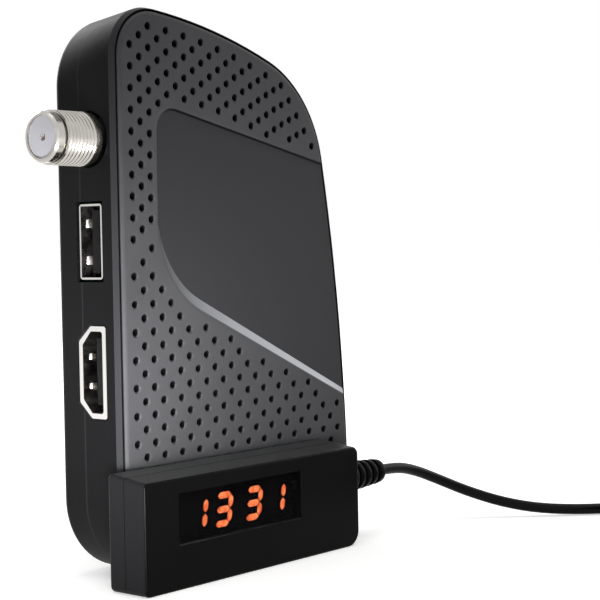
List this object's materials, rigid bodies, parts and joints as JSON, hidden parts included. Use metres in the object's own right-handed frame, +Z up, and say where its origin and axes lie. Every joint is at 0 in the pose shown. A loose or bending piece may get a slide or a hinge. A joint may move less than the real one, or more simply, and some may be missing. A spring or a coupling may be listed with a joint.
{
  "type": "satellite tv receiver",
  "caption": "Slim upright satellite receiver with a perforated curved face, aerial, data and video sockets on its side, and a small wired clock display lying in front.",
  "frame": {"origin": "on the floor, under the middle of the receiver's foot", "axes": "+Z up along the receiver's height, +Y from its face to its back, +X to the right as seen from the front; the aerial, data and video sockets face -X"},
  "size_m": [0.1356, 0.0876, 0.1001],
  "materials": {
    "case_plastic": "fine satin grain, charcoal black",
    "cover_plastic": "fine matt grain, dark grey",
    "unit_plastic": "satin black",
    "black_plastic": "black moulding",
    "white_plastic": "white moulding",
    "black_steel": "black oxide",
    "rubber": "matt",
    "lead_rubber": "soft satin black",
    "tie_plastic": "black coated wire",
    "label": "silver-grey film, blank",
    "board": "green solder mask",
    "tin_plate": "bright tin",
    "chip": "moulded package",
    "thermal_pad": "soft pad",
    "aluminium": "satin",
    "ferrite": "grey moulded ferrite",
    "nickel": "bright nickel plate",
    "gold": "gold plate",
    "smoked_window": "smoked clear acrylic",
    "lit_orange": "glowing orange diffuser",
    "unlit_bar": "unlit diffuser",
    "foam": "black adhesive foam"
  },
  "bodies": {
    "receiver": {"rear_case": "case_plastic", "front_cover": "cover_plastic", "case_screws": "black_steel", "rubber_feet": "rubber", "rating_label": "label", "main_board": "board", "tuner_can": "tin_plate", "tuner_lid": "tin_plate", "tuner_chip": "chip", "processor": "chip", "thermal_pad": "thermal_pad", "heatsink": "aluminium", "memory_chip": "chip", "flash_chip": "chip", "crystal": "tin_plate", "capacitors": "aluminium", "power_coils": "ferrite", "regulators": "chip", "aerial_socket_barrel": "nickel", "aerial_socket_bush": "white_plastic", "aerial_socket_contact": "gold", "usb_shell": "nickel", "usb_tongue": "black_plastic", "usb_contacts": "gold", "hdmi_shell": "nickel", "hdmi_tongue": "black_plastic", "hdmi_contacts": "gold", "power_jack": "black_plastic", "power_pin": "nickel", "av_jack": "black_plastic", "display_jack": "black_plastic"},
    "display_unit": {"display_front": "unit_plastic", "display_back": "unit_plastic", "display_screws": "black_steel", "display_window": "smoked_window", "digit_block": "black_plastic", "lit_bars": "lit_orange", "unlit_bars": "unlit_bar", "display_board": "board", "remote_eye": "black_plastic", "driver_chip": "chip", "sticky_pad": "foam", "strain_relief": "lead_rubber", "cord_run": "lead_rubber", "cord_coil": "lead_rubber", "cord_tie": "tie_plastic", "cord_tail": "lead_rubber", "plug_grip": "lead_rubber", "plug_pin": "gold", "plug_rings": "black_plastic"}
  },
  "joints": [
    {"name": "display_slide", "type": "slide", "parent": "receiver", "child": "display_unit", "axis": [1, 0, 0], "range_m": [0, 0.025]}
  ]
}
